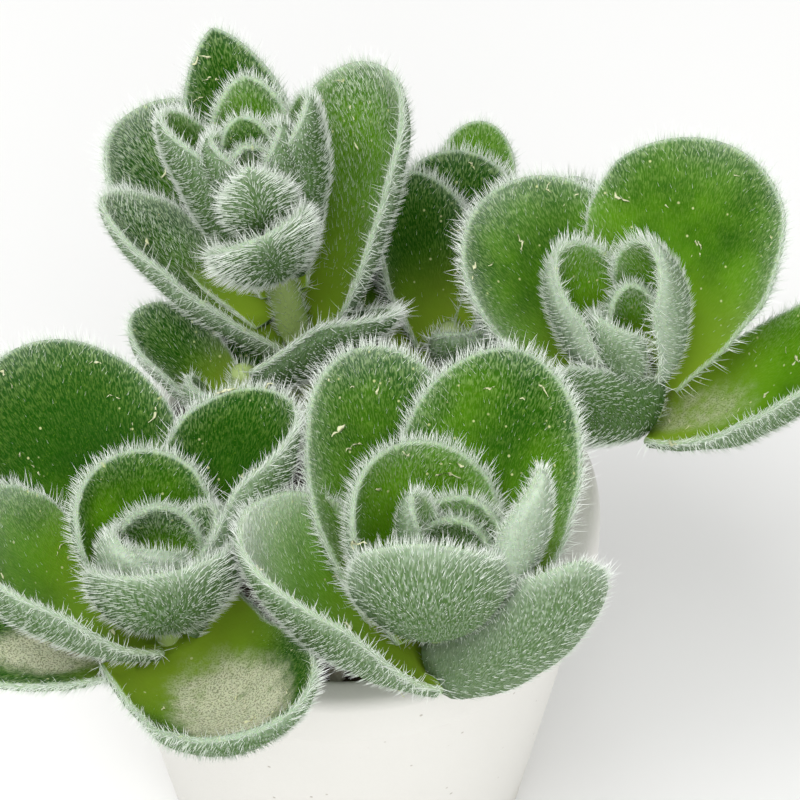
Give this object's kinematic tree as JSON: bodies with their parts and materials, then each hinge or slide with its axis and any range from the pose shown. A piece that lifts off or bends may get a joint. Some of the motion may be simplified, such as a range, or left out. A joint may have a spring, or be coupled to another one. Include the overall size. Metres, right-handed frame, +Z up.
{
  "type": "potted crassula tomentosa",
  "caption": "Potted woolly succulent: rosettes of thick, cupped, hairy leaves in crossed pairs on short stems, rooted in gritty soil in a plain round pot.",
  "frame": {"origin": "centre of the pot's flat base, on the surface it stands on", "axes": "+Z up; -Y towards the side the picture is taken from; +X to the right in it"},
  "size_m": [0.0878, 0.0855, 0.0873],
  "materials": {
    "pot": "matte off-white ceramic",
    "soil": "dark gritty potting soil",
    "leaf": "fleshy green leaf under short white hairs",
    "young_leaf": "young leaf, silvery with dense white hairs",
    "hair": "fine translucent white hairs",
    "stem": "pale green stem, brown near the soil"
  },
  "bodies": {
    "root": {"pot": "pot", "soil": "soil", "rosette_front": "leaf", "heart_front": "young_leaf", "rosette_front_left": "leaf", "heart_front_left": "young_leaf", "rosette_right": "leaf", "heart_right": "young_leaf", "rosette_back_left": "leaf", "heart_back_left": "young_leaf", "rosette_middle": "leaf", "rosette_shaded": "leaf", "rosette_rear_left": "leaf", "rosette_rear_right": "leaf"}
  },
  "joints": []
}
